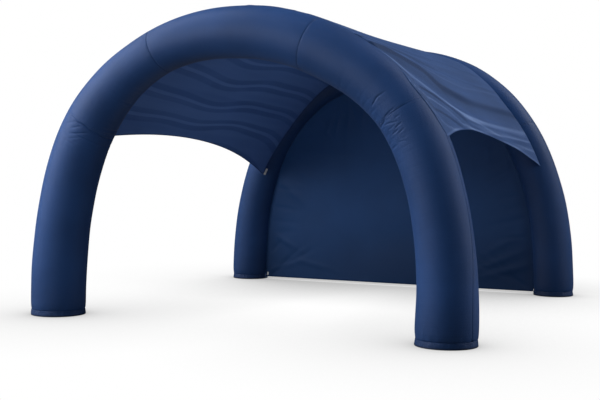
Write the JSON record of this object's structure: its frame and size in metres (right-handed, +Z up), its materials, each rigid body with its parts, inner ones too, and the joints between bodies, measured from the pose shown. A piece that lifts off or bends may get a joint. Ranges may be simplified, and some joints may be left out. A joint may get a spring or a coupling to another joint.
{
  "type": "inflatable u-shaped tent",
  "caption": "Inflatable open-fronted tent: tubular air arches carry a taut roof with scalloped side hems, with a cloth wall closing the back.",
  "frame": {"origin": "middle of the tent's footprint, on the ground", "axes": "+X to the right seen from the entrance, +Y from the entrance to the back wall, +Z up"},
  "size_m": [5.1479, 5.09, 3.3034],
  "materials": {
    "arch_cloth": "navy coated nylon, satin",
    "roof_cloth": "navy polyester, satin, with lighter wave bands underneath",
    "wall_cloth": "navy polyester, matt",
    "webbing": "pale grey woven webbing"
  },
  "bodies": {
    "root": {"front_right_leg": "arch_cloth", "front_right_shoulder": "arch_cloth", "front_crown": "arch_cloth", "front_left_shoulder": "arch_cloth", "front_left_leg": "arch_cloth", "front_right_foot": "arch_cloth", "front_left_foot": "arch_cloth", "rear_right_leg": "arch_cloth", "rear_right_shoulder": "arch_cloth", "rear_crown": "arch_cloth", "rear_left_shoulder": "arch_cloth", "rear_left_leg": "arch_cloth", "rear_right_foot": "arch_cloth", "rear_left_foot": "arch_cloth", "roof": "roof_cloth", "back_wall": "wall_cloth", "roof_strap": "webbing", "wall_tie": "webbing"}
  },
  "joints": []
}
